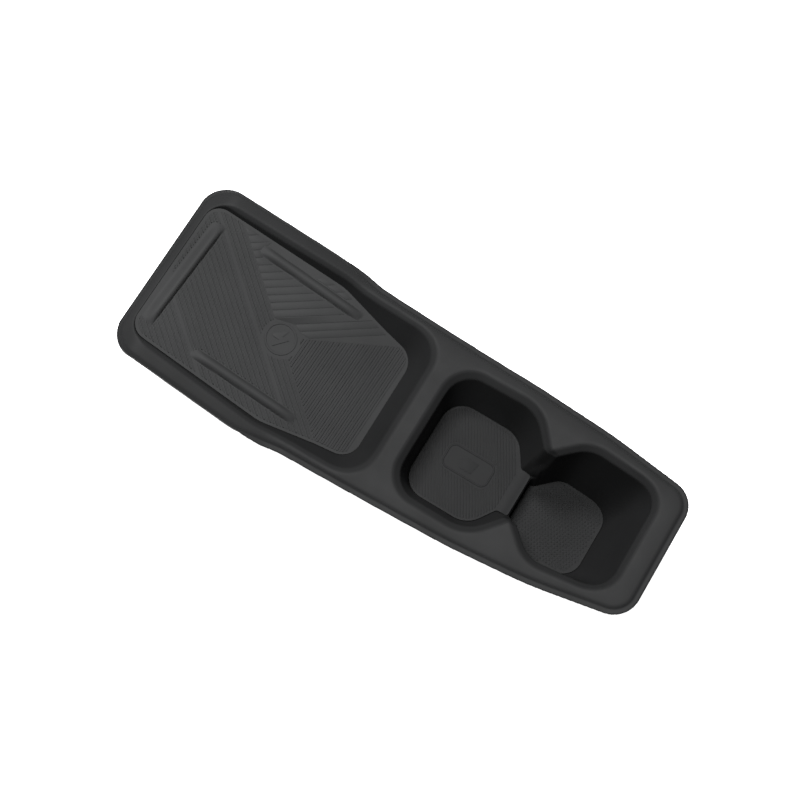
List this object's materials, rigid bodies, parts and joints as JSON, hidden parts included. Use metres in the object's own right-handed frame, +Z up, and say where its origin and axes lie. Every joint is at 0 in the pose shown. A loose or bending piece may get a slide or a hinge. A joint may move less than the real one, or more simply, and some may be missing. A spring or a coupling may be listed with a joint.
{
  "type": "car console tray liner",
  "caption": "Soft moulded liner for a car's centre console: sloping ribbed phone tray, and two deep cup wells of unequal depth joined by a narrow neck, with lift-out mats.",
  "frame": {"origin": "middle of the plan box, level with the underside of the deeper rear well", "axes": "+X from the phone end to the cup end, +Y across, +Z up out of the wells' mouths"},
  "size_m": [0.402, 0.147, 0.0987],
  "materials": {
    "liner_rubber": "matte soft-touch moulding, fine even grain",
    "phone_mat_rubber": "matte, fine moulded ribs in three directions",
    "cup_mat_rubber": "matte, very fine moulded lines"
  },
  "bodies": {
    "liner": {"console_liner": "liner_rubber"},
    "phone_mat_body": {"phone_mat": "phone_mat_rubber"},
    "front_cup_mat_body": {"front_cup_mat": "cup_mat_rubber"},
    "rear_cup_mat_body": {"rear_cup_mat": "cup_mat_rubber"}
  },
  "joints": [
    {"name": "phone_mat_lift", "type": "slide", "parent": "liner", "child": "phone_mat_body", "axis": [0.2924, 0, 0.9563], "range_m": [0, 0.08]},
    {"name": "front_cup_mat_lift", "type": "slide", "parent": "liner", "child": "front_cup_mat_body", "axis": [0, 0, 1], "range_m": [0, 0.1]},
    {"name": "rear_cup_mat_lift", "type": "slide", "parent": "liner", "child": "rear_cup_mat_body", "axis": [0, 0, 1], "range_m": [0, 0.13]}
  ]
}
